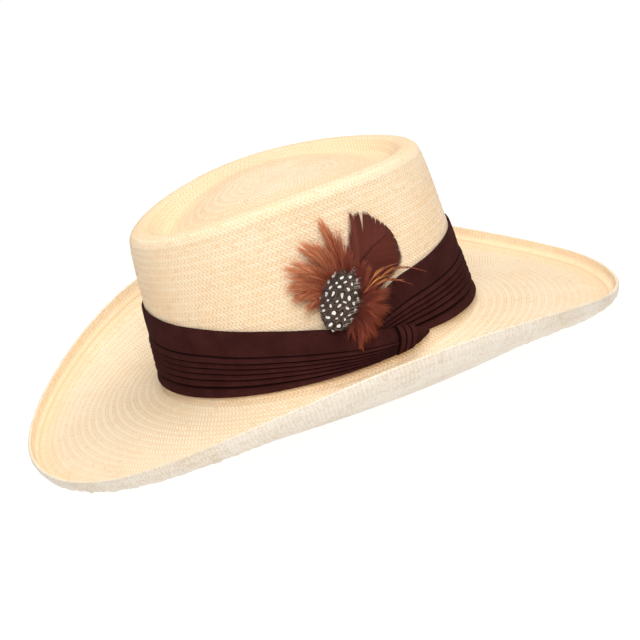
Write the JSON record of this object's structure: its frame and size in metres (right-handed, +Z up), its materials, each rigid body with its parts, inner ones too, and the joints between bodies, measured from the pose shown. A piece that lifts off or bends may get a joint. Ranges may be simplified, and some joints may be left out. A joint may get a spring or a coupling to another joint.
{
  "type": "gambler hat",
  "caption": "Woven straw gambler hat with a telescope crown, wide rolled brim, pleated cloth band with a wrapped end, and a trim of feathers.",
  "frame": {"origin": "on the floor under the middle of the hat's bounding box, the hat standing on the front and back of its brim", "axes": "+Z up, -Y towards the front of the hat, +X towards the wearer's left, where the feathers and the end of the band are"},
  "size_m": [0.3512, 0.3849, 0.1297],
  "materials": {
    "straw": "fine woven straw, satin, cream to pale yellow, with rings of weave on tip and brim",
    "band_cloth": "matte dark brown cotton in pressed pleats",
    "dark_feather": "broad body feather dyed dark brown, soft sheen along the barbs",
    "rust_feather": "fluffy rust brown hackles",
    "amber_feather": "slim glossy hackles, amber to red brown",
    "spotted_feather": "grey black guinea feather with white spots ringed in black"
  },
  "bodies": {
    "root": {"straw_body": "straw", "pleated_band": "band_cloth", "band_keeper": "band_cloth", "broad_feather": "dark_feather", "hackle_plume": "rust_feather", "saddle_hackles": "amber_feather", "guinea_feather": "spotted_feather"}
  },
  "joints": []
}
